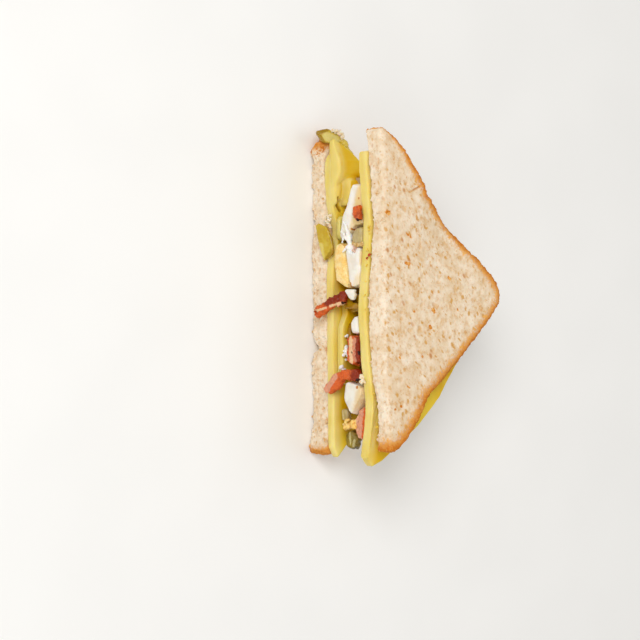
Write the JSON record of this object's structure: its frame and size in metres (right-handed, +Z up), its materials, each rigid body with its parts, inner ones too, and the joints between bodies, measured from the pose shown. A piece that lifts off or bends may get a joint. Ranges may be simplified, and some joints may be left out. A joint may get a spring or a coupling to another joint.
{
  "type": "bacon, egg and cheese sandwich half",
  "caption": "Half of a toast-bread sandwich cut corner to corner, lying flat, with cheese, boiled egg, bacon and pickles showing at the cut.",
  "frame": {"origin": "middle of the lower face of the resting slice of bread", "axes": "+X along the cut side, +Y from the cut side towards the uncut corner, +Z up through the layers"},
  "size_m": [0.1684, 0.0868, 0.0605],
  "materials": {
    "crumb": "soft open bread crumb with browned crust at the rim",
    "cheese": "smooth waxy yellow cheese slice, slightly translucent",
    "egg_white": "moist smooth boiled egg white",
    "egg_yolk": "dry crumbly boiled yolk",
    "bacon": "fried bacon, dark red lean with pale fat stripes, greasy",
    "pickle": "wet olive green pickle slices with translucent flesh",
    "filling": "chopped egg and sauce"
  },
  "bodies": {
    "root": {"bacon_band": "bacon", "bacon_draped": "bacon", "bacon_high": "bacon", "bacon_low": "bacon", "bacon_middle": "bacon", "bacon_side_1": "bacon", "bacon_side_2": "bacon", "bread_bottom": "crumb", "bread_top": "crumb", "cheese_broken_inner": "cheese", "cheese_broken_tip": "cheese", "cheese_lower": "cheese", "cheese_second": "cheese", "cheese_upper": "cheese", "egg_chip_white": "egg_white", "egg_chunk_white": "egg_white", "egg_crumbled_yolk": "egg_yolk", "egg_side_1_white": "egg_white", "egg_side_2_white": "egg_white", "egg_side_chip_white": "egg_white", "egg_strip_white": "egg_white", "egg_wedge_white": "egg_white", "egg_wedge_yolk": "egg_yolk", "filling_core": "filling", "pickle_end": "pickle", "pickle_ledge": "pickle", "pickle_long": "pickle", "pickle_olive_back": "pickle", "pickle_olive_front": "pickle", "pickle_round": "pickle", "pickle_side_1": "pickle", "pickle_side_2": "pickle", "pickle_side_3": "pickle", "pickle_side_4": "pickle", "pickle_small": "pickle", "pickle_stack_lower": "pickle", "pickle_stack_upper": "pickle", "pickle_tip": "pickle"}
  },
  "joints": []
}
